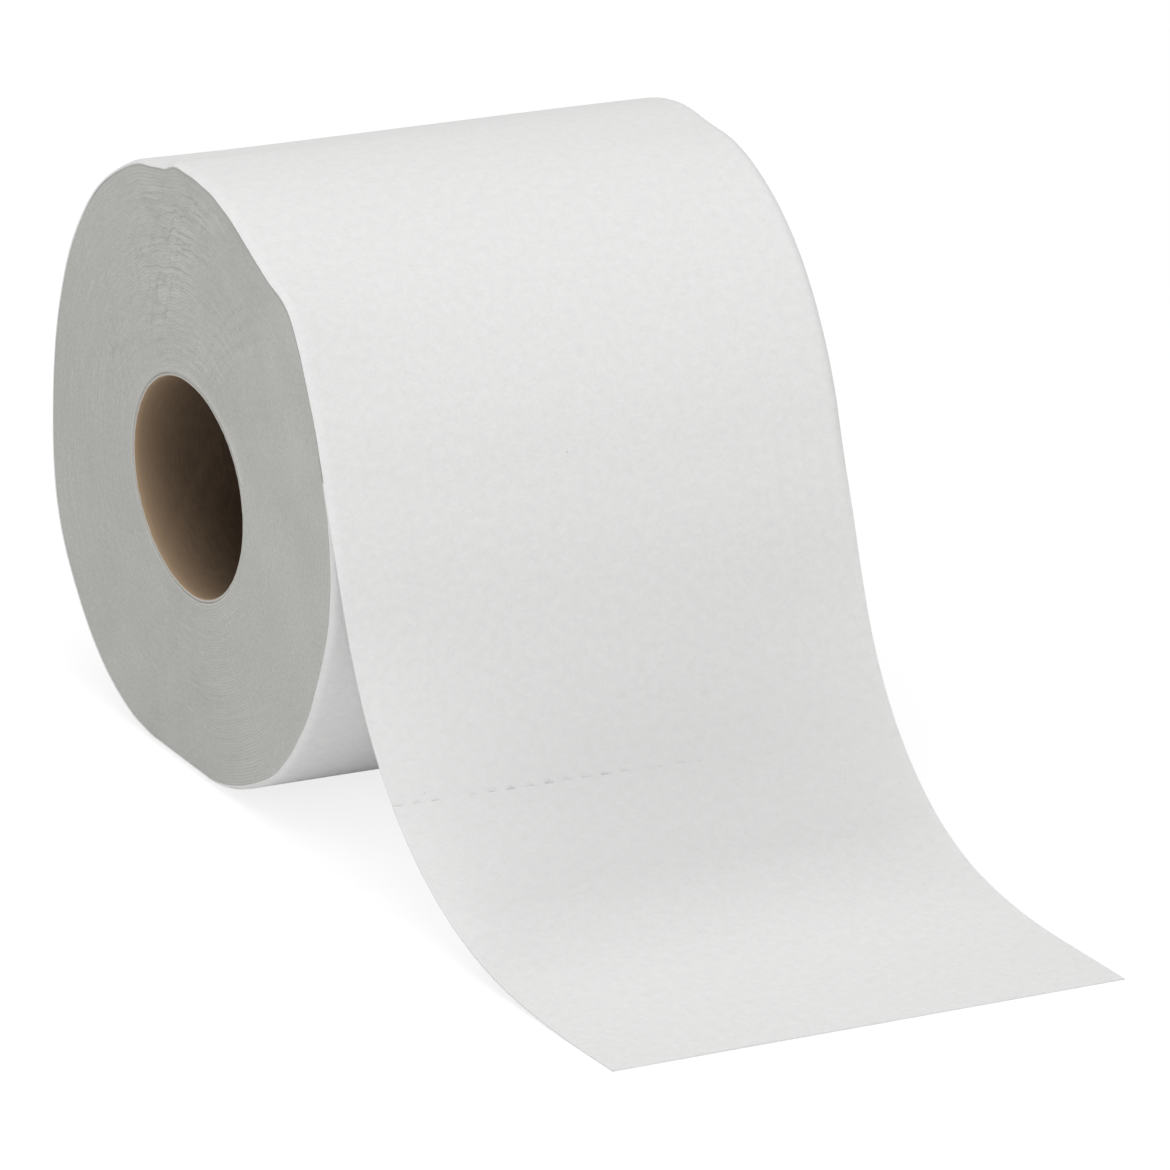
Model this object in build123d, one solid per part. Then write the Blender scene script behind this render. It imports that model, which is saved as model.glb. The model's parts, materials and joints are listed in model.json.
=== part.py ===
"""Toilet paper roll lying on its side, with the free end of its web drawn off over the front.

Two pieces: a cardboard core, and one long web of tissue wound on it.
Millimetres. X runs along the roll, the free end lies towards -Y, and +Z is up.
The origin is on the axis of the core, half way along it.
"""
import os
from math import cos, pi, radians, sin

from build123d import *

# Core: a cardboard tube that ends a little inside the paper, which is glued to it
core_bore_diameter = 39.8
core_wall = 0.6
core_setback = 0.4
glue_line = 0.05

# Web of tissue
web_width = 103.0
sheet_thickness = 0.3

# Wound roll: it is soft, so its outline is a little off centre, a little oval and flat where it rests
roll_radius = 55.6
off_centre = 2.1
off_centre_angle = 122.0
oval = 1.3
oval_angle = 49.0
rest_height = 51.8

# Turns as they show at the two ends: each drawn turn is a bundle of real ones, whose edges slant
# outwards by turn_step, and the last bundle stands proud at the full width of the web
drawn_turns = 10
turn_step = 0.35
last_turn_depth = 1.6
last_turn_proud = 0.15
points_per_turn = 12

# Free end of the web: it lifts off the front of the roll, hangs, and curls forward to lie flat
lift_off_angle = 160.0
lift_gap = 0.1
curl_radius = 76.0
tail_reach = 153.3

# Perforation between the last two sheets: slits with a tie of paper between each two
sheet_length = 80.5
slit_length = 2.0
slit_tie = 1.75
slit_width = 0.25

# Worked out from the sizes above
core_radius = core_bore_diameter / 2 + core_wall
hole_radius = core_radius + glue_line
half_width = web_width / 2
seam = radians(lift_off_angle)
small_share = 1e-4


def outline_radius(angle):
    """Radius of the outermost turn, at an angle that runs from the back over the top to the front."""
    return (
        roll_radius
        + off_centre * cos(angle - radians(off_centre_angle))
        + oval * cos(2 * (angle - radians(oval_angle)))
    )


def outline_point(angle, inset):
    """Point that lies inset from the outermost turn, as (y, z) in the section of the roll."""
    radius = outline_radius(angle) - inset
    return Vector(radius * cos(angle), radius * sin(angle))


def smooth_turn(point_at):
    """One turn as a smooth curve, through points that a formula gives for the share of the turn."""
    shares = [i / points_per_turn for i in range(points_per_turn + 1)]
    start = (point_at(small_share) - point_at(0)) / small_share
    end = (point_at(1) - point_at(1 - small_share)) / small_share
    points = [point_at(share) for share in shares]
    return Edge.make_spline(points, [start, end], parameters=shares, scale=False)


def wound_radius(turns, angle):
    """Radius of the spiral after so many turns. The first and the last turn are closed rings."""
    last = drawn_turns - 1
    wound = min(max(turns - 1, 0), last) / last
    widest = outline_radius(angle) - last_turn_depth
    return hole_radius + wound * (widest - hole_radius)


def spiral_turn(turn, start_x, end_x):
    """One turn of the spiral, from the plane at start_x to the plane at end_x."""
    def point_at(share):
        angle = seam + 2 * pi * share
        radius = wound_radius(turn + share, angle)
        return Vector(start_x + (end_x - start_x) * share, radius * cos(angle), radius * sin(angle))

    return smooth_turn(point_at)


def wound_end(side):
    """Faces of one end of the roll: the slanted edges of the turns, and the step from each to the next."""
    high_x = side * (half_width - last_turn_proud)
    low_x = side * (half_width - last_turn_proud - turn_step)
    low = [spiral_turn(turn, low_x, low_x) for turn in range(drawn_turns - 1)]
    low.append(spiral_turn(drawn_turns - 1, low_x, high_x))
    high = [spiral_turn(1, low_x, high_x)]
    high += [spiral_turn(turn, high_x, high_x) for turn in range(2, drawn_turns + 1)]
    slants = [Face.make_surface_from_curves(*edges) for edges in zip(low, high)]
    steps = [Face.make_surface_from_curves(*edges) for edges in zip(low[1:], high[:-1])]
    return slants + steps, low[0], high[-1]


def tail_corners(depth):
    """Where one side of the free end starts, meets the surface that it lies on, and ends."""
    start = outline_point(seam, 0)
    along = (start - outline_point(seam - small_share, 0)).normalized()
    inward = Vector(-along.Y, along.X)
    top = start + inward * depth
    level = sheet_thickness - rest_height - depth
    corner = top + along * ((level - top.Y) / along.Y)
    return top, corner, Vector(-tail_reach, level)


def outer_side():
    """Line of the outer side of the free end: straight off the roll, round the curl and along the flat."""
    return FilletPolyline(*tail_corners(0), radius=curl_radius)


def outermost_turn():
    """The last turn in the section of the roll, from under the free end round to where that lifts off."""
    under_tail = sheet_thickness + lift_gap

    def point_at(share):
        return outline_point(seam + 2 * pi * share, under_tail * (1 - share**2))

    return smooth_turn(point_at)


def tail_edges(turn):
    """The free end in the section of the roll: its outer side, its end, and its inner side back to the roll."""
    top, corner, end = tail_corners(sheet_thickness)
    inner_side = FilletPolyline(end, corner, top, radius=curl_radius + sheet_thickness)
    cut_end = Edge.make_line(outer_side() @ 1, end)
    crevice = Edge.make_line(top, turn @ 0)
    return outer_side().edges() + [cut_end] + inner_side.edges() + [crevice]


def wound_web():
    """The web as one closed skin: the two wound ends, the side of the roll, the free end and the hole."""
    turn = outermost_turn()
    tail = tail_edges(turn)
    faces = []
    rims = []
    for side in (-1, 1):
        turns, inner_rim, outer_rim = wound_end(side)
        x = side * half_width
        plane = Plane.YZ.offset(x)
        proud_rim = spiral_turn(drawn_turns, x, x)
        margin = plane * Face(Wire([turn] + tail)) - Face(Wire([proud_rim]))
        faces += turns + [Face.make_surface_from_curves(outer_rim, proud_rim)] + margin.faces()
        rims.append([inner_rim, (plane * turn).edge()])
    faces += [Face.make_surface_from_curves(*edges) for edges in zip(*rims)]
    start = Plane.YZ.offset(-half_width)
    faces += [Face.extrude((start * edge).edge(), Vector(web_width, 0, 0)) for edge in tail]
    return Solid(Shell(faces))


def flat_spot_cut():
    """Everything below the surface that the roll rests on."""
    reach = 2 * roll_radius
    block = Box(2 * web_width, reach, reach, align=(Align.CENTER, Align.CENTER, Align.MAX))
    return Pos(0, 0, -rest_height) * block


def perforation_cuts():
    """The row of slits across the free end, one sheet from its end."""
    side = outer_side()
    share = 1 - sheet_length / side.length
    place, along = side @ share, side % share
    across = Plane(
        origin=(0, place.X, place.Y),
        x_dir=(1, 0, 0),
        z_dir=(0, -along.Y, along.X),
    )
    pitch = slit_length + slit_tie
    count = int((web_width - slit_tie) / pitch)
    slit = Box(slit_length, slit_width, 4 * sheet_thickness)
    return [across * Pos((i - (count - 1) / 2) * pitch, 0, 0) * slit for i in range(count)]


def tissue_web():
    """The wound web with its free end, flat spot and perforation, as one solid."""
    return wound_web() - flat_spot_cut() - perforation_cuts()


def cardboard_core():
    """The tube that the web is wound on."""
    length = web_width - 2 * (last_turn_proud + turn_step + core_setback)
    tube = Cylinder(core_radius, length) - Cylinder(core_radius - core_wall, length)
    return Rot(0, 90, 0) * tube


os.makedirs("parts", exist_ok=True)
for name, piece in (("tissue_web", tissue_web()), ("cardboard_core", cardboard_core())):
    export_step(piece, f"parts/{name}.step")
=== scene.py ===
# %% [markdown]
# # Toilet paper roll with its free end drawn off
# The part is a cardboard tube with one long web of tissue wound on it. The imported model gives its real
# sizes and places. This lesson gives it the looks: the turns of paper that show at the two ends, the
# soft last turn with its hanging end and its row of slits, and the board of the tube. Everything is in
# metres, with X along the roll, the free end towards -Y, and the origin on the axis of the tube.

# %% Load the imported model
import json
import math

import bmesh
import bpy
from mathutils import Matrix, Vector, noise


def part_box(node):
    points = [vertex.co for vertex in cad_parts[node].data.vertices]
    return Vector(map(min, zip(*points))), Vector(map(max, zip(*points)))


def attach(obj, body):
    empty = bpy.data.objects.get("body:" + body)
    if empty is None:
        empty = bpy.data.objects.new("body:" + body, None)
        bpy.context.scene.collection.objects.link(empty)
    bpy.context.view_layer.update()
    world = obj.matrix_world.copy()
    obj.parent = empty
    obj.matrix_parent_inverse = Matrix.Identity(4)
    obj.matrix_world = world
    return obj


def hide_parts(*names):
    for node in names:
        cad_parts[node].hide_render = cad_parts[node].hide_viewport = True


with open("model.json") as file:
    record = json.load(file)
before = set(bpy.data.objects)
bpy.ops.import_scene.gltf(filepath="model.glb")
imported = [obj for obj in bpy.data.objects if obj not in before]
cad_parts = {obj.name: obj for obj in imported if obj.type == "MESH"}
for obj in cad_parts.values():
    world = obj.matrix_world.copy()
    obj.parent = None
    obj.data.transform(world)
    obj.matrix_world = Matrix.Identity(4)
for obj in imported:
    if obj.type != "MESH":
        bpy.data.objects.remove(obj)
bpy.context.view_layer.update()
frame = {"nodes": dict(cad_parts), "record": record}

print("nodes", sorted(frame["nodes"]))

# %% [markdown]
# ## Sizes
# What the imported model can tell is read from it: the width of the web, the level on which the roll
# rests, the tube's radius and length. What it can't tell, such as how far the roll is out of round, is
# written here once, in millimetres, with the same values as in the part's source.

# %% Sizes
MM = 0.001
web_low, web_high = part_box("tissue_web")
tube_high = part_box("cardboard_core")[1]
HALF_WIDTH = web_high.x
REST = -web_low.z
TUBE_RADIUS = tube_high.z
TUBE_HALF_LENGTH = tube_high.x
BORE = next(m for m in frame["record"]["mounts"] if m["kind"] == "bore")
BORE_RADIUS = BORE["dims"]["r_mm"] * MM
GLUE_LINE = 0.05 * MM
HOLE_RADIUS = TUBE_RADIUS + GLUE_LINE
ROLL_RADIUS = 55.6 * MM
OFF_CENTRE = 2.1 * MM
OFF_CENTRE_ANGLE = math.radians(122.0)
OVAL = 1.3 * MM
OVAL_ANGLE = math.radians(49.0)
SHEET = 0.3 * MM
LIFT_OFF = math.radians(160.0)
print(f"web {2 * HALF_WIDTH / MM:.1f} mm wide, tube {2 * TUBE_RADIUS / MM:.1f} mm across")

# %% [markdown]
# ## The outline of the roll
# A soft roll is never quite round. Its outermost turn is a circle pushed off centre, pressed a little
# oval and a little three-sided, and flattened where it rests. One formula gives its radius at each
# angle, from the back over the top to the front. Where the formula meets the level of the floor, the
# two are blended, so that the paper goes over into its flat spot without an edge. Every turn inside
# follows this outline.

# %% Outline of the roll
THREE_SIDED = 0.65 * MM
THREE_SIDED_ANGLE = math.radians(-43.0)
BLEND = 0.8 * MM
BLEND_SHIFT = 0.55
NEAR_FLOOR = 0.5


def outline_radius(angle):
    """Radius of the outermost turn, flat where it rests."""
    radius = (
        ROLL_RADIUS
        + OFF_CENTRE * math.cos(angle - OFF_CENTRE_ANGLE)
        + OVAL * math.cos(2 * (angle - OVAL_ANGLE))
        + THREE_SIDED * math.cos(3 * (angle - THREE_SIDED_ANGLE))
    )
    fall = -math.sin(angle)
    if fall > NEAR_FLOOR:
        floor_radius = REST / fall
        apart = (floor_radius + BLEND_SHIFT * BLEND - radius) / BLEND
        radius = min(radius - BLEND * math.log(1 + math.exp(-apart)), floor_radius)
    return radius


print("radius at the top", round(outline_radius(math.pi / 2) / MM, 2), "mm")

# %% [markdown]
# ## Dents at the two ends
# Handling has dented the roll, most of all at its left end. Each dent is a smooth hill or hollow that
# runs round a part of the rim and fades out along the roll, and close to the floor there is none.

# %% Dents at the two ends
DENTS_LEFT = (
    # angle, half width in degrees, height in mm
    (2.0, 13.0, -0.5),
    (32.0, 9.0, 0.55),
    (48.0, 12.0, 1.1),
    (62.0, 30.0, 0.5),
    (66.0, 6.0, 0.25),
    (73.0, 5.0, -0.8),
    (77.0, 2.0, -0.45),
    (81.5, 2.5, 0.3),
    (110.0, 10.0, -0.8),
    (127.0, 5.5, 1.6),
    (134.0, 8.0, 1.5),
    (160.0, 9.0, -0.5),
    (199.0, 8.0, -0.6),
    (227.0, 9.0, 0.75),
    (305.0, 18.0, 0.9),
    (334.0, 14.0, 1.2),
)
DENTS_RIGHT = (
    (65.0, 25.0, -0.45),
    (91.0, 7.0, -0.9),
    (122.0, 20.0, 0.75),
)
DENT_LENGTH = 22 * MM
DENT_CLEARANCE = 1.3 * MM


def dent(angle, x):
    """How far the dents move the last turns out of the outline."""
    total = 0.0
    for end, dents in ((-1, DENTS_LEFT), (1, DENTS_RIGHT)):
        fade = math.exp(-(HALF_WIDTH - end * x) / DENT_LENGTH)
        for place, width, height in dents:
            apart = (math.degrees(angle) - place + 180) % 360 - 180
            total += height * MM * fade * math.exp(-((apart / width) ** 2))
    clear = REST + outline_radius(angle) * math.sin(angle)
    return total * min(1.0, clear / DENT_CLEARANCE)


print("dent at 130 degrees", round(dent(math.radians(130), -HALF_WIDTH) / MM, 2), "mm")

# %% [markdown]
# ## The squeezed tube
# The tube has been squeezed as well. It is a little wider than high, and is pushed towards the free
# end. The hole in the paper has the same shape, so the two are moved by one formula.

# %% Squeezed tube
SQUEEZE = 1.4 * MM
SQUEEZE_ANGLE = math.radians(22.0)
WIDENING = 0.15 * MM
PUSH = 0.8 * MM
PUSH_ANGLE = math.radians(165.0)


def squeeze(angle):
    """How far the tube, and the hole around it, are moved out of their circle."""
    pressed = WIDENING + SQUEEZE * math.cos(2 * (angle - SQUEEZE_ANGLE))
    return pressed + PUSH * math.cos(angle - PUSH_ANGLE)


print("tube at the front", round(squeeze(math.pi) / MM, 2), "mm out of its circle")

# %% [markdown]
# ## Camera
# The photograph looks down on the roll from the front left, from far away with a long lens.
# A camera is a place, a point that it looks at, and a small turn about its own line of sight. The
# lens is the focal length in pixels, scaled to Blender's sensor of 36 mm.

# %% Camera
PICTURE = 1170
FOCAL_PIXELS = 14382.6
CAMERA_PLACE = Vector((-1170.42, -2119.03, 893.55)) * MM
CAMERA_TARGET = Vector((-71.14, -180.48, 48.45)) * MM
CAMERA_ROLL = math.radians(2.902)
SENSOR = 36.0
CLIP_NEAR = 0.05
CLIP_FAR = 20.0


def make_camera():
    """The photograph's camera."""
    data = bpy.data.cameras.new("camera")
    data.sensor_width = SENSOR
    data.lens = data.sensor_width * FOCAL_PIXELS / PICTURE
    data.clip_start = CLIP_NEAR
    data.clip_end = CLIP_FAR
    camera = bpy.data.objects.new("camera", data)
    bpy.context.scene.collection.objects.link(camera)
    turn = (CAMERA_TARGET - CAMERA_PLACE).to_track_quat("-Z", "Y").to_matrix().to_4x4()
    camera.matrix_world = Matrix.Translation(CAMERA_PLACE) @ turn @ Matrix.Rotation(CAMERA_ROLL, 4, "Z")
    bpy.context.scene.camera = camera
    return camera


camera = make_camera()
print(f"lens {camera.data.lens:.0f} mm, {CAMERA_PLACE.length:.2f} m from the roll")

# %% [markdown]
# ## Helpers for node materials
# A material is a small network. Written out node by node it gets long, so one helper adds a node and
# fills its sockets: an input is either a plain value or the output of another node, which is then
# linked. The floor's material, the sky and the materials of the paper and the board are made with it.


# %% Helpers for node materials
def new_material(name):
    """An empty node material, as (material, nodes)."""
    material = bpy.data.materials.new(name)
    material.use_nodes = True
    nodes = material.node_tree.nodes
    nodes.clear()
    return material, nodes


def add(nodes, kind, inputs=None, **settings):
    """A node of this kind with its settings, and a value or an output for its sockets."""
    node = nodes.new("ShaderNode" + kind)
    for key, value in settings.items():
        setattr(node, key, value)
    for key, value in (inputs or {}).items():
        if isinstance(value, bpy.types.NodeSocket):
            node.id_data.links.new(value, node.inputs[key])
        else:
            node.inputs[key].default_value = value
    return node


kinds = [kind for kind in dir(bpy.types) if kind.startswith("ShaderNode")]
print("kinds of shader node", len(kinds))

# %% [markdown]
# ## Floor
# The photograph has a white background. The floor stays a plain pale surface that takes the roll's
# shadow and throws light back under it. Only what the camera sees of it is lifted to white, with the
# Light Path node, so that the lamps can stay at a level at which the paper keeps its own colour.

# %% Floor
FLOOR_SIZE = 6.0
FLOOR_COLOUR = (0.9, 0.9, 0.9, 1)
SEEN_COLOUR = (0.26, 0.26, 0.26, 1)
SEEN_GLOW = 0.8
WHITE = (1, 1, 1, 1)


def floor_material():
    """Pale floor, which the camera sees nearly white, with the shadow kept."""
    material, nodes = new_material("pale_floor")
    plain = add(nodes, "BsdfDiffuse", {"Color": FLOOR_COLOUR})
    seen = add(nodes, "BsdfDiffuse", {"Color": SEEN_COLOUR})
    glow = add(nodes, "Emission", {"Color": WHITE, "Strength": SEEN_GLOW})
    both = add(nodes, "AddShader", {0: seen.outputs[0], 1: glow.outputs[0]})
    to_camera = add(nodes, "LightPath").outputs["Is Camera Ray"]
    floor = add(nodes, "MixShader", {0: to_camera, 1: plain.outputs[0], 2: both.outputs[0]})
    add(nodes, "OutputMaterial", {"Surface": floor.outputs[0]})
    return material


def make_floor():
    """A large sheet at the level on which the roll rests."""
    bm = bmesh.new()
    bmesh.ops.create_grid(bm, x_segments=1, y_segments=1, size=FLOOR_SIZE / 2)
    bmesh.ops.translate(bm, vec=(0, 0, -REST), verts=bm.verts)
    mesh = bpy.data.meshes.new("floor")
    bm.to_mesh(mesh)
    bm.free()
    mesh.materials.append(floor_material())
    floor = bpy.data.objects.new("floor", mesh)
    bpy.context.scene.collection.objects.link(floor)
    return floor


floor = make_floor()
print(floor.name, "at", round(-REST / MM, 1), "mm")

# %% [markdown]
# ## Light
# An even sky fills every side, as in a light tent. A large soft box above the roll makes its upper side
# the brightest part, and a small one low on the camera's side lights the left end and the paper under
# the free end, which would be dull in the light from above.

# %% World and lamps
SKY_LEVEL = 0.455
SKY_COLOUR = (1.0, 0.995, 0.97, 1)
LAMP_COLOUR = (0.985, 0.985, 1.0)


def make_world():
    """Even light from all round, and white behind the floor for the camera."""
    world = bpy.data.worlds.new("soft_sky")
    bpy.context.scene.world = world
    world.use_nodes = True
    nodes = world.node_tree.nodes
    nodes.clear()
    even = add(nodes, "Background", {"Color": SKY_COLOUR, "Strength": SKY_LEVEL})
    white = add(nodes, "Background", {"Color": WHITE, "Strength": 1.0})
    to_camera = add(nodes, "LightPath").outputs["Is Camera Ray"]
    sky = add(nodes, "MixShader", {0: to_camera, 1: even.outputs[0], 2: white.outputs[0]})
    add(nodes, "OutputWorld", {"Surface": sky.outputs[0]})


def make_lamp(name, place, target, size, power):
    """A square soft box that faces the target."""
    data = bpy.data.lights.new(name, "AREA")
    data.shape = "SQUARE"
    data.size = size
    data.energy = power
    data.color = LAMP_COLOUR
    lamp = bpy.data.objects.new(name, data)
    bpy.context.scene.collection.objects.link(lamp)
    turn = (Vector(target) - Vector(place)).to_track_quat("-Z", "Y").to_matrix().to_4x4()
    lamp.matrix_world = Matrix.Translation(place) @ turn
    return lamp


make_world()
top = make_lamp("top_lamp", place=(-0.35, -0.25, 2.0), target=(0, -0.04, 0), size=1.5, power=22.2)
front = make_lamp("front_lamp", place=(-0.95, -1.65, 0.3), target=(0, -0.06, -0.02), size=0.6, power=5.4)
bpy.context.scene.view_settings.view_transform = "Standard"
print("sky", SKY_LEVEL, "lamps", [round(lamp.data.energy, 1) for lamp in (top, front)])

# %% [markdown]
# ## Sums, ramps and bumps
# The materials of the paper and the board need the same few steps again and again: a sum, a change of
# range, a ramp of two colours, a mix, a stack of bumps, and a number that the mesh stores. Each gets a
# short name. Blender's Mix node has its colours at the sockets 6 and 7, and gives the result at 2.

# %% Helpers for sums, ramps and bumps
MIX_UNDER = 6
MIX_OVER = 7
MIX_COLOUR = 2


def calculate(nodes, operation, *values):
    """Result of one step of arithmetic."""
    return add(nodes, "Math", dict(enumerate(values)), operation=operation).outputs[0]


def rescale(nodes, value, before, after):
    """The value, moved from one range of numbers to another and kept inside it."""
    ends = {"From Min": before[0], "From Max": before[1], "To Min": after[0], "To Max": after[1]}
    return add(nodes, "MapRange", {"Value": value, **ends}).outputs[0]


def ramp(nodes, value, start, end):
    """Colour that goes from one (value, colour) to the other."""
    node = add(nodes, "ValToRGB", {0: value})
    for element, (place, colour) in zip(node.color_ramp.elements, (start, end)):
        element.position = place
        element.color = (*colour, 1)
    return node.outputs[0]


def mix(nodes, kind, share, under, over):
    """Two colours mixed in one of Blender's ways."""
    inputs = {0: share, MIX_UNDER: under, MIX_OVER: over}
    return add(nodes, "Mix", inputs, data_type="RGBA", blend_type=kind).outputs[MIX_COLOUR]


def relief(nodes, *layers):
    """Normal of a surface with these bumps, one on another: (height, strength, depth)."""
    normal = {}
    for height, strength, depth in layers:
        inputs = {"Height": height, "Strength": strength, "Distance": depth, **normal}
        normal = {"Normal": add(nodes, "Bump", inputs).outputs[0]}
    return normal["Normal"]


def attribute(nodes, name):
    """Number that the mesh stores on its vertices."""
    return add(nodes, "Attribute", attribute_name=name).outputs["Fac"]


print("colours are mixed at the sockets", MIX_UNDER, MIX_OVER, "and given at", MIX_COLOUR)

# %% [markdown]
# ## Tissue
# Toilet tissue is creped: a blade scrapes the dried sheet off its drum, which leaves fine folds across
# the web, and the fibres lie in soft clouds. Both are too small to model, so they are bump and a faint
# change of grey. The pattern reads the sheet's own UV map, in units of 10 mm, so that it is wound and
# hung with the paper.

# %% Patterns of the tissue
CLOUDS = {"Scale": 5.4, "Detail": 5.0, "Roughness": 0.68}
FIBRES = {"Scale": 16.0, "Detail": 4.0, "Roughness": 0.65, "Distortion": 0.6}
FOLDS = {"Scale": 26.0, "Detail": 3.0, "Roughness": 0.55, "Distortion": 0.3}
FOLD_STRETCH = (0.16, 1.0, 1.0)
SPECKS = {"Scale": 1.1, "Randomness": 1.0}
CLOUD_BUMP = (0.5, 0.15 * MM)
FIBRE_BUMP = (0.5, 0.1 * MM)
FOLD_BUMP = (0.45, 0.06 * MM)
FIBRE_SHARE = 0.45
DULL = (0.34, (0.795, 0.795, 0.795))
BRIGHT = (0.68, (0.875, 0.875, 0.875))
SPECK = (0.012, (0.76, 0.75, 0.73))
NO_SPECK = (0.026, (1, 1, 1))


def tissue_patterns(nodes):
    """The clouds, fibres, folds and specks of the paper, on its UV map."""
    place = add(nodes, "UVMap", uv_map="UVMap").outputs[0]
    clouds = add(nodes, "TexNoise", {"Vector": place, **CLOUDS}).outputs[0]
    fibres = add(nodes, "TexNoise", {"Vector": place, **FIBRES}).outputs[0]
    stretched = add(nodes, "Mapping", {"Vector": place, "Scale": FOLD_STRETCH}).outputs[0]
    folds = add(nodes, "TexNoise", {"Vector": stretched, **FOLDS}).outputs[0]
    specks = add(nodes, "TexVoronoi", {"Vector": place, **SPECKS}).outputs["Distance"]
    return clouds, fibres, folds, specks


def tissue_colour(nodes, mottle, specks):
    """Nearly white, mottled, with a few faint specks."""
    white = ramp(nodes, mottle, DULL, BRIGHT)
    return mix(nodes, "MULTIPLY", 1.0, white, ramp(nodes, specks, SPECK, NO_SPECK))


print("sizes of the patterns", CLOUDS["Scale"], FIBRES["Scale"], FOLDS["Scale"])

# %% [markdown]
# ## Light through the paper
# Where the free end hangs clear of the roll and the floor, light comes through it from behind. The
# mesh stores how freely the paper hangs, and by that number a part of the surface turns translucent,
# and its colour is painted lighter there, as painted light that comes through the sheet.
# The light passes two skins, because the sheet gets its thickness from a modifier. The inner skin is
# nearly all translucent, so that what the outer skin lets through isn't lost between them.

# %% Tissue material
THROUGH_OUTER = 0.39
THROUGH_INNER = 0.96
VEIL = (0.92, 1.0)
# Painted light: added to the paper's colour where it hangs free.
PAINTED_THROUGH_LIGHT = (0.12, 0.12, 0.12, 1)


def tissue_material(name, through):
    """Soft white paper that lets this share of the light through where it hangs free, and is painted
    lighter there as painted light.
    """
    material, nodes = new_material(name)
    clouds, fibres, folds, specks = tissue_patterns(nodes)
    cloud_part = calculate(nodes, "MULTIPLY", clouds, 1 - FIBRE_SHARE)
    mottle = calculate(nodes, "MULTIPLY_ADD", fibres, FIBRE_SHARE, cloud_part)
    # Painted light: where the paper hangs free, its colour is lightened.
    hanging = attribute(nodes, "hanging")
    surface = add(nodes, "BsdfPrincipled", {
        "Base Color": mix(nodes, "ADD", hanging, tissue_colour(nodes, mottle, specks), PAINTED_THROUGH_LIGHT),
        "Roughness": 0.9,
        "Specular IOR Level": 0.15,
        "Normal": relief(nodes, (clouds, *CLOUD_BUMP), (fibres, *FIBRE_BUMP), (folds, *FOLD_BUMP)),
    })
    veil = rescale(nodes, mottle, (DULL[0], BRIGHT[0]), VEIL)
    glow = add(nodes, "BsdfTranslucent", {"Color": veil})
    share = calculate(nodes, "MULTIPLY", hanging, through)
    thin = add(nodes, "MixShader", {0: share, 1: surface.outputs[0], 2: glow.outputs[0]})
    add(nodes, "OutputMaterial", {"Surface": thin.outputs[0]})
    return material


tissue = tissue_material("tissue_sheet", THROUGH_OUTER)
tissue_inside = tissue_material("tissue_sheet_inside", THROUGH_INNER)
print("materials", tissue.name, tissue_inside.name)

# %% [markdown]
# ## Cut edges of the turns
# At the ends of the roll only the cut edges of the paper show. They are the same white, but the small
# gaps between turns hold shadow, and that shade is painted into their colour, which is greyer and
# finely lined. The mesh below has the turns as true ridges. Each of its vertices stores its number of
# turns, and a cosine of that number paints this shade into the gaps, along the same spiral. Next to
# the tube, where the first ridges are low, the first turns are painted darker as well, as painted
# shade. The bump adds only the loose fibres.

# %% Material of the ends
FUZZ = {"Scale": 1500.0, "Detail": 3.0, "Roughness": 0.6}
PATCHES = {"Scale": 75.0, "Detail": 4.0, "Roughness": 0.6}
PATCH_RANGE = (0.35, 0.7)
GROOVE_RANGE = (0.04, 0.2)
PATCH_SHARE = 0.3
EDGE_BUMP = (0.5, 0.08 * MM)
GAP_SHADE = (0.15, (0.515, 0.515, 0.495))
PAPER_EDGE = (0.85, (0.73, 0.73, 0.706))
SHADED_TURNS = 2.5
SHADED = (0.88, 0.875, 0.86, 1)


def turn_edge_material():
    """Paper seen edge on: painted shade between the turns and next to the tube, broken up by loose
    fibres.
    """
    material, nodes = new_material("tissue_turn_edges")
    turns = attribute(nodes, "turns")
    place = add(nodes, "TexCoord").outputs["Object"]
    fuzz = add(nodes, "TexNoise", {"Vector": place, **FUZZ}).outputs[0]
    patch = add(nodes, "TexNoise", {"Vector": place, **PATCHES}).outputs[0]
    # Painted shade: a cosine of the turns darkens the gaps between them.
    wave = calculate(nodes, "COSINE", calculate(nodes, "MULTIPLY", turns, 2 * math.pi))
    groove = calculate(nodes, "MULTIPLY", wave, rescale(nodes, patch, PATCH_RANGE, GROOVE_RANGE))
    blotch = calculate(nodes, "MULTIPLY", patch, PATCH_SHARE)
    fibre = calculate(nodes, "MULTIPLY_ADD", fuzz, 1 - PATCH_SHARE, blotch)
    grey = ramp(nodes, calculate(nodes, "SUBTRACT", fibre, groove), GAP_SHADE, PAPER_EDGE)
    # Painted shade: the first turns next to the tube are darkened.
    innermost = rescale(nodes, turns, (0.0, SHADED_TURNS), (1.0, 0.0))
    surface = add(nodes, "BsdfPrincipled", {
        "Base Color": mix(nodes, "MULTIPLY", innermost, grey, SHADED),
        "Roughness": 0.95,
        "Specular IOR Level": 0.1,
        "Normal": relief(nodes, (fibre, *EDGE_BUMP)),
    })
    add(nodes, "OutputMaterial", {"Surface": surface.outputs[0]})
    return material


turn_edges = turn_edge_material()
print("material", turn_edges.name)

# %% [markdown]
# ## The wound turns
# The web is wound as a spiral, so its edge at the end of the roll is one long line. A lathe can't make
# that, because each turn of a lathe closes on itself. The trick is to spin a comb-shaped profile once
# round without joining the ends, and then slide its vertices outwards, each by its share of one turn.
# The last column now lies on the first one, one turn further out, and merging the two gives a true
# spiral. At each end of the roll a small gap is left where the spiral starts and one where it ends, and
# they are filled.

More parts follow.
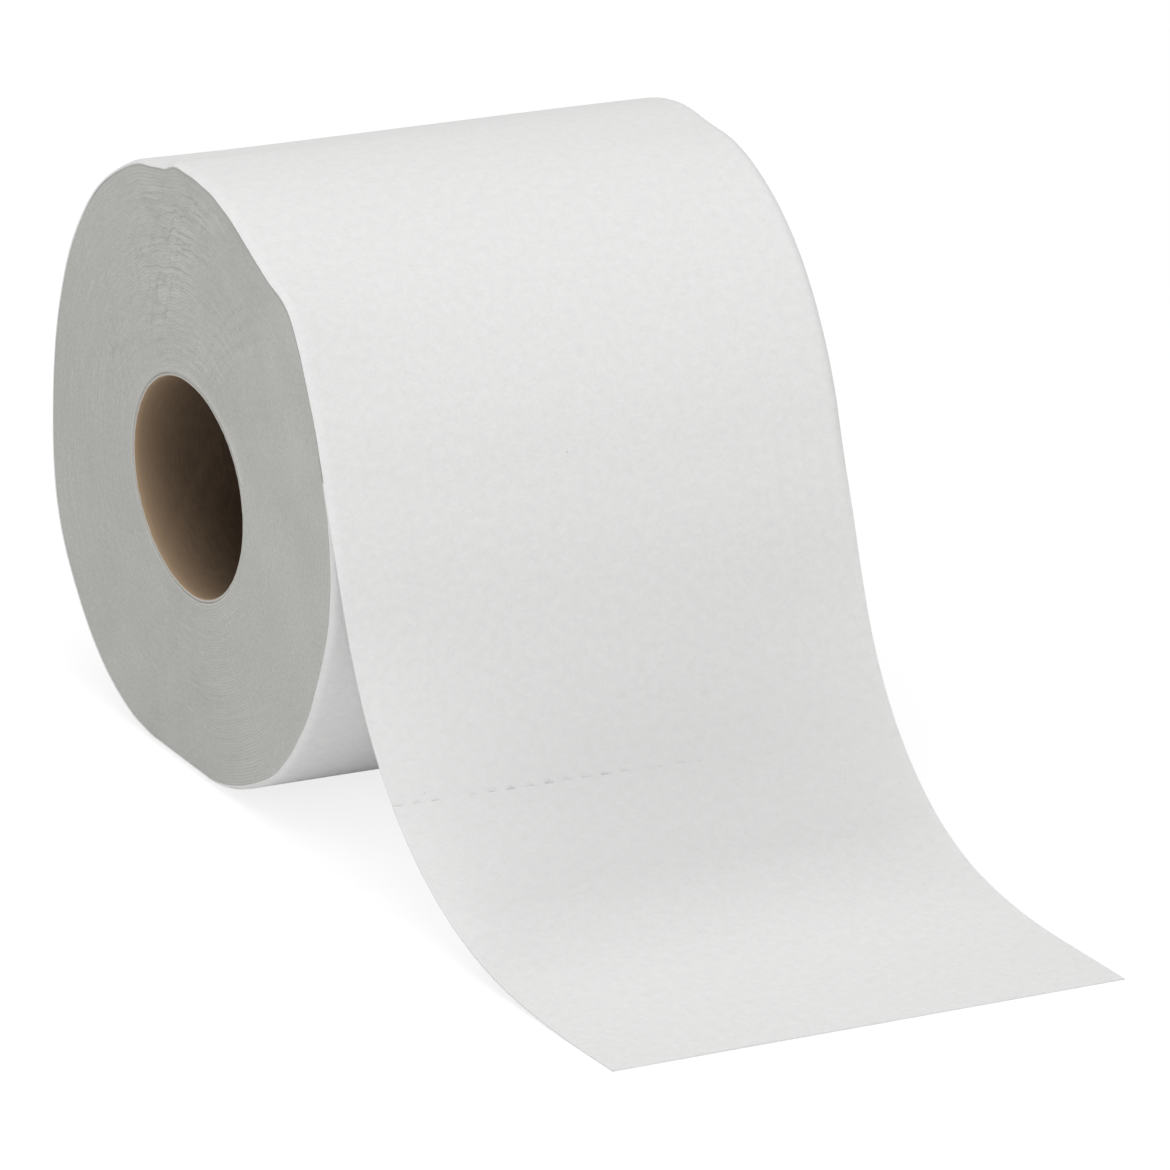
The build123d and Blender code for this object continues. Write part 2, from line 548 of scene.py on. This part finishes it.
# %% The comb-shaped profile
TURNS = 58
COLUMNS = 390
RIDGE = 0.26 * MM
RIDGE_RISE = 3
END_INSET = 0.12 * MM
EDGE_BEND = 1.6 * MM
EDGE_DROP = 0.7 * MM
EDGE_STEPS = 4
SIDE_ROWS = 12
WOUND_INSET = 0.4 * MM
STRIP_GAP = 0.02 * MM
INNER_RADIUS = ROLL_RADIUS - WOUND_INSET - SHEET - STRIP_GAP
ON_SIDE = -1.0


def edge_drop(x):
    """How far the outermost paper bends in over the rim of the roll."""
    past = max(0.0, abs(x) - (HALF_WIDTH - EDGE_BEND)) / EDGE_BEND
    return EDGE_DROP * past * past


CREST = HALF_WIDTH - END_INSET
PITCH = (INNER_RADIUS - edge_drop(CREST) - HOLE_RADIUS) / (TURNS + 1)


def end_profile():
    """Radius, place along X and turn of each point of one end, from the hole to the start of the side."""
    points = []
    for i in range(2 * TURNS + 1):
        ridge = RIDGE * min(1.0, i / RIDGE_RISE) if i % 2 == 0 else 0.0
        points.append((HOLE_RADIUS + i * PITCH / 2, CREST - ridge, i / 2))
    for i in range(EDGE_STEPS + 1):
        x = CREST - (CREST - HALF_WIDTH + EDGE_BEND) * i / EDGE_STEPS
        points.append((INNER_RADIUS - edge_drop(x), x, ON_SIDE))
    return points


print("one turn is", round(PITCH / MM, 3), "mm thick, as drawn")

# %% Spin the profile and make it a spiral
SAME_PLACE = 1e-6
FIRST_COLUMN = 1e-4
GAP_SIDES = 5


def profile_line(bm, turns):
    """The closed profile: one end from the hole outwards, the side, and the other end back."""
    profile = end_profile()
    line = []
    for radius, x, turn in profile:
        line.append(bm.verts.new((-x, radius, 0)))
        line[-1][turns] = turn
    side = profile[-1][1]
    for i in range(1, SIDE_ROWS):
        line.append(bm.verts.new((side * (2 * i / SIDE_ROWS - 1), INNER_RADIUS, 0)))
        line[-1][turns] = ON_SIDE
    for radius, x, turn in reversed(profile):
        line.append(bm.verts.new((x, radius, 0)))
        line[-1][turns] = turn
    return line + [bm.edges.new(pair) for pair in zip(line, line[1:] + line[:1])]


def spin_line(bm, line, steps, closed):
    """Spins a profile once round the axis, and gives the vertices of its last column."""
    spun = bmesh.ops.spin(
        bm,
        geom=line,
        cent=(0, 0, 0),
        axis=(1, 0, 0),
        dvec=(0, 0, 0),
        angle=2 * math.pi,
        steps=steps,
        use_merge=closed,
    )
    return {v for v in spun["geom_last"] if isinstance(v, bmesh.types.BMVert)}


def share_of_turn(v, last):
    """How much of a turn lies behind a vertex: nothing in the first column, and all in the last."""
    if v in last:
        return 1.0
    angle = math.atan2(v.co.z, v.co.y) % (2 * math.pi)
    return angle / (2 * math.pi) if 2 * math.pi - angle > FIRST_COLUMN else 0.0


def spiral_roll():
    """A bmesh of the wound turns on a round roll, with the number of turns on each vertex."""
    bm = bmesh.new()
    turns = bm.verts.layers.float.new("turns")
    last = spin_line(bm, profile_line(bm, turns), COLUMNS, closed=False)
    for v in bm.verts:
        if v[turns] > 0:
            share = share_of_turn(v, last)
            radius = math.hypot(v.co.y, v.co.z)
            v.co.y *= (radius + PITCH * share) / radius
            v.co.z *= (radius + PITCH * share) / radius
            v[turns] += share
        elif v[turns] < 0:
            v[turns] = TURNS + 1
    bmesh.ops.remove_doubles(bm, verts=bm.verts, dist=SAME_PLACE)
    bmesh.ops.holes_fill(bm, edges=[e for e in bm.edges if e.is_boundary], sides=GAP_SIDES)
    return bm, turns


bm_roll, turns_layer = spiral_roll()
print("open edges", sum(e.is_boundary for e in bm_roll.edges), "faces", len(bm_roll.faces))

# %% [markdown]
# ## Ripples of the turns
# Some turns stand further out of the end than others, and where the paper was wound slack, the lines
# of the turns ripple. The ripples stay together from turn to turn, since each turn lies on the one
# below. Noise that is read along a circle closes on itself round the roll, and the larger the circle,
# the more waves fit round. Each kind of unevenness is read at a place of its own in the noise, and each
# end of the roll as well, so that no two of them are alike.

# %% Ripples of the turns
SLACK_ANGLE = math.radians(66.0)
SLACK_BELOW = 0.45
SLACK_EVERYWHERE = 0.1
SLACK_MEAN = 0.7
SLACK_SPREAD = 0.9
SLACK_WAVES = 3.0
RIPPLE = 0.56 * MM
RIPPLE_WAVES = 26.0
KINK = 0.16 * MM
KINK_WAVES = 4.2
KINK_SHARPNESS = 9
STAND_OUT = 0.23 * MM
SINGLE_TURN = 1.3
SINGLE_MEAN = 0.3
SINGLE_SLACK = 0.55
SINGLE_WAVES = 7.0
BROAD_WAVES = 2.2


def ring_noise(angle, waves, *place):
    """Noise on a circle of this size, at this place in the field of noise."""
    return noise.noise(Vector((math.cos(angle), math.sin(angle), 0)) * waves + Vector(place))


def ripple_patch(angle, share, side):
    """How far the paper has slackened at a place: most above the tube, and less below it."""
    slack = math.cos(angle - SLACK_ANGLE)
    slack = slack if slack > 0 else -SLACK_BELOW * slack
    uneven = ring_noise(angle, SLACK_WAVES, share * 2.4, 5.5 * side, 3.1)
    return SLACK_EVERYWHERE + slack * math.sqrt(slack) * (SLACK_MEAN + SLACK_SPREAD * uneven)


def ripple(angle, share, side):
    """Ripple of the turns in the plane of the end, with short kinks that run across them."""
    wave = ring_noise(angle, RIPPLE_WAVES, share * 9.5, share * 7.1, 20 * side + 7.0)
    kink = 1 - KINK_SHARPNESS * abs(ring_noise(angle, KINK_WAVES, share * 1.1, 0.4, 31 * side))
    return ripple_patch(angle, share, side) * (RIPPLE * wave - KINK * max(0.0, kink))


def stand_out(angle, share, side, turn):
    """How far a turn stands out of the end: each one by itself, and all of them in broad waves."""
    single = ring_noise(angle, SINGLE_WAVES, 0, 0, turn * 0.83 + 40 * side)
    single *= SINGLE_MEAN + SINGLE_SLACK * ripple_patch(angle, share, side)
    broad = ring_noise(angle, BROAD_WAVES, 0, 0, turn * 0.07 - 15 * side)
    return STAND_OUT * (SINGLE_TURN * single + broad)


print("slack above the tube", round(ripple_patch(SLACK_ANGLE, 0.5, -1), 2))

# %% [markdown]
# ## From a round roll to a soft one
# The spun roll is round and stiff. Each vertex is now moved: from its place between the round hole and
# the round rim to the same place between the squeezed hole and the soft outline, and then by the
# ripples. A dent reaches only the outer turns, because the paper below takes it up.

# %% Shape the roll
SEAM = Matrix.Rotation(LIFT_OFF, 3, "X")
SEAM_SHARE = 0.03
DENT_DEPTH_POWER = 6
CALM_RIM = 9
FACE_DEPTH = 1.01 * RIDGE


def bend_share(share):
    """Smooth rise from 0 to 1."""
    share = min(max(share, 0.0), 1.0)
    return share * share * (3 - 2 * share)


def strip_depth(angle):
    """How deep under the outline the turn below the last one lies."""
    share = (angle - LIFT_OFF) / (2 * math.pi) % 1.0
    rise = share * share * bend_share((1 - share) / SEAM_SHARE)
    return WOUND_INSET * (1 - rise) + SHEET + STRIP_GAP


def shape_roll(bm, turns):
    """Moves each vertex of the round roll to its place on the soft one."""
    for v in bm.verts:
        v.co = SEAM @ v.co
        angle = math.atan2(v.co.z, v.co.y)
        share = (math.hypot(v.co.y, v.co.z) - HOLE_RADIUS) / (INNER_RADIUS - HOLE_RADIUS)
        hole = HOLE_RADIUS + squeeze(angle)
        outer = outline_radius(angle) - strip_depth(angle)
        radius = hole + share * (outer - hole) + dent(angle, v.co.x) * share**DENT_DEPTH_POWER
        if abs(v.co.x) > CREST - FACE_DEPTH and v[turns] <= TURNS:
            side = math.copysign(1.0, v.co.x)
            free = min(1.0, CALM_RIM * share, CALM_RIM * (1 - share))
            radius += free * ripple(angle, share, side)
            v.co.x += side * free * stand_out(angle, share, side, v[turns])
        v.co.y = radius * math.cos(angle)
        v.co.z = radius * math.sin(angle)


def finish_mesh(bm, name, material):
    """An object at the origin with this mesh, its faces smooth and its normals outwards."""
    mesh = bpy.data.meshes.new(name)
    bmesh.ops.recalc_face_normals(bm, faces=bm.faces)
    for face in bm.faces:
        face.smooth = True
    bm.to_mesh(mesh)
    bm.free()
    mesh.materials.append(material)
    piece = bpy.data.objects.new(name, mesh)
    bpy.context.scene.collection.objects.link(piece)
    return piece


shape_roll(bm_roll, turns_layer)
roll = finish_mesh(bm_roll, "wound_turns", turn_edges)
print("triangles", sum(len(p.vertices) - 2 for p in roll.data.polygons))

# %% [markdown]
# ## The last turn and the free end
# The last turn and the free end are one piece of paper, so they are made as one: a flat strip is cut
# to its real size, the row of slits is cut into it, and only then is each vertex moved to where the
# paper goes. That is how the real sheet gets its shape, it keeps its length, and the UV map made on
# the flat strip stays true. The free end leaves the roll along its tangent, bends forward and lies on
# the floor. Its left side bends wider than its right side, and it drifts a little to the right.

# %% Path of the free end
FREE_LENGTH = 138.9 * MM
BEND_LEFT = 127.2 * MM
BEND_RIGHT = 101.4 * MM
WALK_STEP = 0.25 * MM
TANGENT_STEP = 0.001


def outline_point(angle, inset=0.0):
    """Point (y, z) on the outline of the roll, or inset from it."""
    radius = outline_radius(angle) - inset
    return Vector((radius * math.cos(angle), radius * math.sin(angle)))


def walk_side(bend):
    """Points of one side of the free end, a small step apart, for a bend of this length."""
    start = outline_point(LIFT_OFF)
    way = (start - outline_point(LIFT_OFF - TANGENT_STEP)).normalized()
    first = math.atan2(-way.x, -way.y)
    steps = int(bend / WALK_STEP)
    lean = [first + (math.pi / 2 - first) * bend_share((i + 0.5) / steps) for i in range(steps)]
    fall = sum(math.cos(a) for a in lean) * WALK_STEP
    straight = (start.y + REST - SHEET - fall) / math.cos(first)
    points = [start]
    for i in range(int(FREE_LENGTH / WALK_STEP) + 2):
        along = (i + 0.5) * WALK_STEP - straight
        angle = first + (math.pi / 2 - first) * bend_share(along / bend)
        points.append(points[-1] + Vector((-math.sin(angle), -math.cos(angle))) * WALK_STEP)
    return points


left_side = walk_side(BEND_LEFT)
right_side = walk_side(BEND_RIGHT)
print("free end reaches", [round(s[-1].x / MM, 1) for s in (left_side, right_side)])

# %% [markdown]
# ## From the flat strip to the roll
# Two functions tell where a point of the flat strip goes, one for the last turn and one for the free
# end. At the line where the paper leaves the roll they agree, so the strip has no kink there. The bend
# of its edges and the dents of the roll fade out just past that line.

# %% Place of each point of the strip
DRIFT = 5.7 * MM
DRIFT_BACK = 2.1 * MM
LEAVE_FADE = 25 * MM
WAVE = 0.35 * MM
WAVE_START = 30 * MM
WAVES_ACROSS = 28
WAVES_ALONG = 34
WAVE_SEED = 2.2
WAVE_CALM = 6 * MM
LYING = 3 * MM
OUTLINE_STEPS = 2000


def turn_length():
    """Length of the last turn, once round the outline."""
    angles = [LIFT_OFF + 2 * math.pi * i / OUTLINE_STEPS for i in range(OUTLINE_STEPS + 1)]
    points = [outline_point(angle) for angle in angles]
    return sum((b - a).length for a, b in zip(points, points[1:]))


TURN_LENGTH = turn_length()


def wound_place(x, length):
    """Where a point of the strip lies on the roll."""
    share = length / TURN_LENGTH
    angle = LIFT_OFF + 2 * math.pi * share
    inset = WOUND_INSET * (1 - share * share) + edge_drop(x)
    point = outline_point(angle, inset - dent(angle, x))
    return Vector((x, point.x, point.y))


def walked_point(x, length, height):
    """Point (y, z) of the free end between its two sides, this high over its surface."""
    step = length / WALK_STEP
    low = min(int(step), len(left_side) - 2)
    left = left_side[low].lerp(left_side[low + 1], step - low)
    right = right_side[low].lerp(right_side[low + 1], step - low)
    way = (left_side[low + 1] - left_side[low]).normalized()
    across = (x + HALF_WIDTH) / (2 * HALF_WIDTH)
    return left.lerp(right, across) + Vector((way.y, -way.x)) * height


def free_place(x, length, height):
    """Where a point of the strip lies on the free end, this high over its surface."""
    point = walked_point(x, length, height)
    out = Vector((math.cos(LIFT_OFF), math.sin(LIFT_OFF)))
    point += out * (dent(LIFT_OFF, x) - edge_drop(x)) * (1 - bend_share(length / LEAVE_FADE))
    share = length / FREE_LENGTH
    drift = DRIFT * share * share - DRIFT_BACK * share
    wave = noise.noise(Vector((x * WAVES_ACROSS, length * WAVES_ALONG, WAVE_SEED)))
    wave *= WAVE * bend_share(length / WAVE_START)
    lift = 0.0 if point.y > -REST + LYING else abs(wave)
    wave = wave * min(1.0, (point.y + REST - SHEET) / WAVE_CALM)
    return Vector((x + drift, point.x - wave, point.y + lift))


print("last turn", round(TURN_LENGTH / MM, 1), "mm")

# %% [markdown]
# ## Cutting the slits
# The strip starts as a grid, with six columns of cells for each slit and tie. A plane cuts one more
# row of vertices where the sheets are to be torn apart, and one on each side of it. Along the middle
# row the edges of each slit are split, which opens the mesh there. The two lips are drawn a little
# apart and pressed in, as the blade has left them. They are freshest at the left.

# %% Make the strip
SHEET_LENGTH = 80.5 * MM
STRIP_LENGTH = TURN_LENGTH + FREE_LENGTH
COLUMNS_ACROSS = 162
COLUMNS_PER_SLIT = 6
COLUMN = 2 * HALF_WIDTH / COLUMNS_ACROSS
ROW_LENGTH = 1.7 * MM
SLIT_ROW = STRIP_LENGTH - SHEET_LENGTH
LIP_WIDTH = 0.18 * MM
ON_PLANE = 1e-7
UV_UNIT = 10 * MM


def strip_grid():
    """The flat strip as a plain grid, with three more rows where the slits will be."""
    bm = bmesh.new()
    rows = int(STRIP_LENGTH / ROW_LENGTH)
    bmesh.ops.create_grid(bm, x_segments=COLUMNS_ACROSS, y_segments=rows, size=0.5)
    bmesh.ops.scale(bm, vec=(2 * HALF_WIDTH, STRIP_LENGTH, 1), verts=bm.verts)
    bmesh.ops.translate(bm, vec=(0, STRIP_LENGTH / 2, 0), verts=bm.verts)
    for place in (SLIT_ROW - LIP_WIDTH, SLIT_ROW + LIP_WIDTH, SLIT_ROW):
        cut = bmesh.ops.bisect_plane(
            bm,
            geom=bm.verts[:] + bm.edges[:] + bm.faces[:],
            plane_co=(0, place, 0),
            plane_no=(0, 1, 0),
            dist=ON_PLANE,
        )
    return bm, [e for e in cut["geom_cut"] if isinstance(e, bmesh.types.BMEdge)]


def cut_slits(bm, row):
    """Splits the edges of the row that belong to a slit."""
    slits = []
    for edge in row:
        middle = (edge.verts[0].co.x + edge.verts[1].co.x) / 2 + HALF_WIDTH
        if int(middle / COLUMN) % COLUMNS_PER_SLIT < COLUMNS_PER_SLIT // 2:
            slits.append(edge)
    bmesh.ops.split_edges(bm, edges=slits)
    return len(slits)


def map_strip(bm):
    """Lays the UV map on the flat strip."""
    uv = bm.loops.layers.uv.new("UVMap")
    for face in bm.faces:
        for loop in face.loops:
            loop[uv].uv = (loop.vert.co.x / UV_UNIT, loop.vert.co.y / UV_UNIT)


strip, row_edges = strip_grid()
slit_edges = cut_slits(strip, row_edges)
map_strip(strip)
print("slits", slit_edges // (COLUMNS_PER_SLIT // 2), "faces", len(strip.faces))

# %% Open the lips of the slits
SLIT_OPEN = 0.05 * MM
LIP_PRESS = 0.24 * MM
LIP_MEAN = 0.95
LIP_SPREAD = 1.6
LIP_LEAST = 0.05
LIP_NOISE = 420
FRESH_UNTIL = 0.05
FRESH_FADE = 0.35
WORN = 0.04


def lip_strength(x):
    """How far a slit has opened: unevenly, and hardly at all at the right."""
    fresh = 1 - bend_share((x / HALF_WIDTH - FRESH_UNTIL) / FRESH_FADE)
    uneven = LIP_MEAN + LIP_SPREAD * noise.noise(Vector((x * LIP_NOISE, 0, 0)))
    return max(LIP_LEAST, uneven) * (WORN + fresh)


def open_lips(bm):
    """Draws the two lips of each slit apart and presses them in."""
    for v in bm.verts:
        on_row = abs(v.co.y - SLIT_ROW) < SAME_PLACE and abs(v.co.x) < HALF_WIDTH - COLUMN / 2
        if on_row and v.is_boundary and len(v.link_faces) == 2:
            centre = sum(f.calc_center_median().y for f in v.link_faces) / 2
            strength = lip_strength(v.co.x)
            v.co.y += math.copysign(0.5 * SLIT_OPEN * strength, centre - SLIT_ROW)
            v.co.z = -LIP_PRESS * strength


open_lips(strip)
print("deepest lip", round(-min(v.co.z for v in strip.verts) / MM, 2), "mm")

# %% [markdown]
# ## Winding the strip on
# Each vertex now goes to its place. The mesh also stores how freely the paper hangs, for the light
# that comes through it: not at all on the roll or on the floor, and most between the two. The edges of
# the sheet stay sharp, so that the rim that the modifier makes is shaded by itself.

# %% Wind the strip on and hang its end
RAGGED = 0.06 * MM
RAGGED_ALONG = 260
RAGGED_ACROSS = 100
CLEAR_START = 4 * MM
CLEAR_RISE = 56 * MM
CLEAR_OF_FLOOR = 9 * MM


def ragged(x, length):
    """Place along X of a point of the strip, with the small unevenness of its cut edges."""
    if abs(abs(x) - HALF_WIDTH) > SAME_PLACE:
        return x
    uneven = 1 + noise.noise(Vector((length * RAGGED_ALONG, x * RAGGED_ACROSS, 0)))
    return x - math.copysign(RAGGED, x) * uneven


def hang_strip(bm):
    """Moves each vertex of the flat strip to its place, and stores how freely the paper hangs there."""
    hanging = bm.verts.layers.float.new("hanging")
    for v in bm.verts:
        length = v.co.y
        x = ragged(v.co.x, length)
        if length <= TURN_LENGTH:
            v.co = wound_place(x, length)
        else:
            v.co = free_place(x, length - TURN_LENGTH, v.co.z)
            off_roll = bend_share((length - TURN_LENGTH - CLEAR_START) / CLEAR_RISE)
            v[hanging] = off_roll * bend_share((v.co.z + REST - SHEET) / CLEAR_OF_FLOOR)


hang_strip(strip)
for edge in strip.edges:
    edge.smooth = not edge.is_boundary
last_turn = finish_mesh(strip, "last_turn_and_free_end", tissue)
paper = last_turn.modifiers.new("paper", "SOLIDIFY")
paper.thickness = SHEET
paper.offset = -1.0
paper.material_offset = 1
last_turn.data.materials.append(tissue_inside)
print("strip", round(STRIP_LENGTH / MM, 1), "mm long")

# %% [markdown]
# ## Board of the tube
# The tube is wound from strips of grey-brown board that are glued in a long helix, so one slanting
# joint shows inside. Near its two ends the board is painted lighter, as painted light that falls into
# the mouth of the tube, and its cut edge is as pale as the paper round it. The mesh stores where the
# joint, the painted light at the ends and the cut edge are, and each of the three mixes its own tint
# over the brown.

# %% Board material
FLECKS = {"Scale": 420.0, "Detail": 5.0, "Roughness": 0.7}
STAINS = {"Scale": 45.0, "Detail": 3.0, "Roughness": 0.5}
LONG_FIBRES = {"Scale": 1900.0, "Detail": 3.0, "Roughness": 0.6}
FIBRE_STRETCH = (1.0, 0.18, 0.18)
FLECK_SHARE = 0.45
GRAIN_BUMP = (0.6, 0.05 * MM)
DARK_BROWN = (0.34, (0.074, 0.048, 0.029))
LIGHT_BROWN = (0.66, (0.13, 0.088, 0.057))
STAINED = (0.3, (0.88, 0.87, 0.86))
UNSTAINED = (0.7, (1, 1, 1))
TINTS = {
    "joint": (0.15, 0.10, 0.06, 1),
    # Painted light: a lighter tint near the ends of the tube.
    "lip": (0.48, 0.34, 0.22, 1),
    "cut": (0.57, 0.565, 0.54, 1),
}


def board_material():
    """Brown board with flecks, long fibres round the tube, painted light at its ends and a pale cut edge.
    """
    material, nodes = new_material("brown_board")
    place = add(nodes, "TexCoord").outputs["Object"]
    flecks = add(nodes, "TexNoise", {"Vector": place, **FLECKS}).outputs[0]
    stains = add(nodes, "TexNoise", {"Vector": place, **STAINS}).outputs[0]
    stretched = add(nodes, "Mapping", {"Vector": place, "Scale": FIBRE_STRETCH}).outputs[0]
    fibres = add(nodes, "TexNoise", {"Vector": stretched, **LONG_FIBRES}).outputs[0]
    fibre_part = calculate(nodes, "MULTIPLY", fibres, 1 - FLECK_SHARE)
    grain = calculate(nodes, "MULTIPLY_ADD", flecks, FLECK_SHARE, fibre_part)
    brown = ramp(nodes, grain, DARK_BROWN, LIGHT_BROWN)
    colour = mix(nodes, "MULTIPLY", 1.0, brown, ramp(nodes, stains, STAINED, UNSTAINED))
    for name, tint in TINTS.items():
        colour = mix(nodes, "MIX", attribute(nodes, name), colour, tint)
    surface = add(nodes, "BsdfPrincipled", {
        "Base Color": colour,
        "Roughness": 0.72,
        "Specular IOR Level": 0.3,
        "Normal": relief(nodes, (grain, *GRAIN_BUMP)),
    })
    add(nodes, "OutputMaterial", {"Surface": surface.outputs[0]})
    return material


board = board_material()
print("material", board.name)

# %% [markdown]
# ## Cardboard tube
# The wall of the tube is a profile that is spun about the axis. Its ends are nearly flush with the
# ends of the turns, with a small rounding at each corner. The joint is a shallow groove: vertices that
# lie near its helix are pressed into the wall.

# %% Profile of the wall
TUBE_COLUMNS = 240
TUBE_ROWS = 96
TUBE_INSET = 0.12 * MM
TUBE_REACH = CREST - TUBE_INSET
CORNER = 0.18 * MM
CORNER_SHARE = 0.3


def wall_line(bm):
    """The closed profile of the wall: the bore, one rounded end, the outside and the other end."""
    line = []
    for i in range(TUBE_ROWS + 1):
        x = (TUBE_REACH - CORNER) * (2 * i / TUBE_ROWS - 1)
        line.append(bm.verts.new((x, BORE_RADIUS, 0)))
    rounding = (
        (TUBE_REACH - CORNER_SHARE * CORNER, BORE_RADIUS + CORNER_SHARE * CORNER),
        (TUBE_REACH, BORE_RADIUS + CORNER),
        (TUBE_REACH, TUBE_RADIUS - CORNER),
        (TUBE_REACH - CORNER_SHARE * CORNER, TUBE_RADIUS - CORNER_SHARE * CORNER),
        (TUBE_REACH - CORNER, TUBE_RADIUS),
    )
    line += [bm.verts.new((x, radius, 0)) for x, radius in rounding]
    line += [bm.verts.new((-x, radius, 0)) for x, radius in reversed(rounding)]
    return line + [bm.edges.new(pair) for pair in zip(line, line[1:] + line[:1])]


print("wall", round((TUBE_RADIUS - BORE_RADIUS) / MM, 2), "mm thick")

# %% Tube
JOINT_LEAD = 92.0 * MM
JOINT_ANGLE = math.radians(-62.0)
JOINT_WIDTH = 0.7 * MM
JOINT_DEPTH = 0.08 * MM
JOINT_SHADE = 0.35
END_LIGHT_FADE = 5 * MM
END_LIGHT_SHARE = 0.85
WALL_WAVE = 0.04 * MM
WALL_NOISE = 150
END_WAVE = 0.07 * MM
END_NOISE = 700


def joint_depth(x, angle):
    """1 in the middle of the slanting joint, falling to 0 beside it."""
    along = (x + TUBE_HALF_LENGTH) / JOINT_LEAD * 2 * math.pi + JOINT_ANGLE
    apart = (angle - along + math.pi) % (2 * math.pi) - math.pi
    slant = math.cos(math.atan(2 * math.pi * BORE_RADIUS / JOINT_LEAD))
    distance = abs(apart) * BORE_RADIUS * slant
    return math.exp(-((distance / JOINT_WIDTH) ** 2))


def make_tube():
    """The tube: its wall spun about the axis, then squeezed, uneven and with its joint pressed in."""
    bm = bmesh.new()
    joint, lip, cut = (bm.verts.layers.float.new(name) for name in ("joint", "lip", "cut"))
    spin_line(bm, wall_line(bm), TUBE_COLUMNS, closed=True)
    for v in bm.verts:
        radius = math.hypot(v.co.y, v.co.z)
        angle = math.atan2(v.co.z, v.co.y)
        inside = radius < BORE_RADIUS + 0.5 * CORNER
        near_end = TUBE_REACH - abs(v.co.x)
        # Painted light: the board is lightened near each end, where light falls into the tube.
        v[lip] = END_LIGHT_SHARE * math.exp(-near_end / END_LIGHT_FADE)
        v[cut] = 0.0 if inside else 1.0
        move = WALL_WAVE * noise.noise(v.co * WALL_NOISE) + squeeze(angle)
        if inside:
            depth = joint_depth(v.co.x, angle)
            v[joint] = JOINT_SHADE * depth
            move += JOINT_DEPTH * depth
        v.co.y *= (radius + move) / radius
        v.co.z *= (radius + move) / radius
        if near_end < 0.5 * CORNER:
            v.co.x += math.copysign(END_WAVE, v.co.x) * (noise.noise(v.co * END_NOISE) - 0.5)
    return finish_mesh(bm, "brown_tube", board)


tube = make_tube()
print("tube", round(2 * TUBE_REACH / MM, 1), "mm long")

# %% [markdown]
# ## Tie the pieces to the model
# Each new piece rides on the part's one body, and the imported parts are hidden.

# %% Tie the pieces to the model
for piece in (roll, last_turn, tube):
    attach(piece, "root")
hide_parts("tissue_web")
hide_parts("tissue_web")
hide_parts("cardboard_core")
print("pieces", roll.name, last_turn.name, tube.name)

# %% [markdown]
